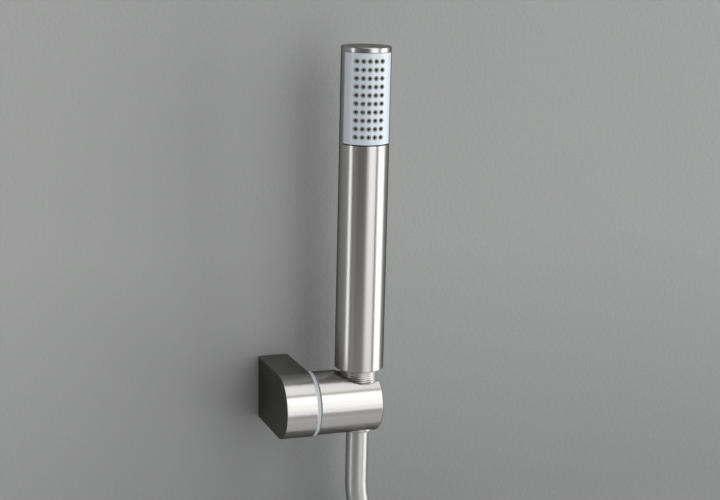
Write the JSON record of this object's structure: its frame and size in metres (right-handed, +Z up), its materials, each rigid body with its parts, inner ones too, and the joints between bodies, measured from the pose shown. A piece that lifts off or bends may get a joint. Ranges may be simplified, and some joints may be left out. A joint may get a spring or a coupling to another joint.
{
  "type": "handheld shower head",
  "caption": "Round stick hand shower with a side spray face, standing in the slotted seat of a turning wall holder, with its hose.",
  "frame": {"origin": "midway between the two wall screws, on the wall face of the bracket", "axes": "+Z up, +X along the wall from the fixed block towards the handset, +Y into the wall"},
  "size_m": [0.2003, 0.083, 0.4947],
  "materials": {
    "satin_steel": "satin, brushed round",
    "plated_steel": "bright zinc plate",
    "chrome_brass": "polished chrome plate",
    "bare_brass": "turned brass",
    "grey_plastic": "satin",
    "pale_plastic": "smooth, half gloss",
    "white_plastic": "satin",
    "nozzle_rubber": "soft matt silicone",
    "black_rubber": "matt",
    "hose_skin": "silver, smooth satin",
    "strap": "woven hook and loop",
    "black_plastic": "satin"
  },
  "bodies": {
    "bracket": {"bracket_block": "satin_steel", "wall_plate": "plated_steel", "grub_screw": "plated_steel", "friction_ring": "grey_plastic", "pivot_screw": "plated_steel", "pivot_washer": "plated_steel", "spring_washer": "plated_steel"},
    "holder": {"holder": "satin_steel", "seat_liner": "black_plastic"},
    "hose_end": {"hose_insert": "bare_brass", "hose_ferrule": "chrome_brass", "hose_top": "hose_skin"},
    "handset": {"cone_nut": "chrome_brass", "stem": "satin_steel", "stem_oring": "black_rubber", "flow_disc": "white_plastic", "inlet_washer": "black_rubber", "water_pipe": "white_plastic", "pipe_orings": "black_rubber", "spray_carrier": "black_plastic", "handle_tube": "satin_steel", "faceplate": "pale_plastic", "nozzle_mat": "nozzle_rubber", "end_cap": "satin_steel", "carrier_oring": "black_rubber"},
    "hose": {"hose_run": "hose_skin", "hose_coil": "hose_skin", "coil_tie_top": "strap", "coil_tie_low": "strap", "hose_tail": "hose_skin", "supply_ferrule": "chrome_brass", "supply_insert": "bare_brass", "supply_washer": "black_rubber"},
    "supply_nut": {"supply_nut": "chrome_brass"}
  },
  "joints": [
    {"name": "holder_tilt", "type": "hinge", "parent": "bracket", "child": "holder", "pos_m": [0.0418, -0.0449, 0], "axis": [1, 0, 0], "range_deg": [-8, 30]},
    {"name": "handset_lift", "type": "slide", "parent": "holder", "child": "hose_end", "axis": [0, -0.0332, 0.9995], "range_m": [0, 0.04]},
    {"name": "handset_turn", "type": "hinge", "parent": "hose_end", "child": "handset", "pos_m": [0.0418, -0.0449, 0], "axis": [0, -0.0332, 0.9995], "continuous": true},
    {"name": "hose_bend", "type": "hinge", "parent": "hose_end", "child": "hose", "pos_m": [0.0418, -0.04308, -0.05497], "axis": [1, 0, 0], "range_deg": [-30, 8]},
    {"name": "supply_nut_turn", "type": "hinge", "parent": "hose", "child": "supply_nut", "pos_m": [-0.06445, -0.071, -0.2504], "axis": [-1, 0, 0], "continuous": true}
  ],
  "couplings": [
    {"joint": "hose_bend", "follows": "holder_tilt", "ratio": -1}
  ]
}
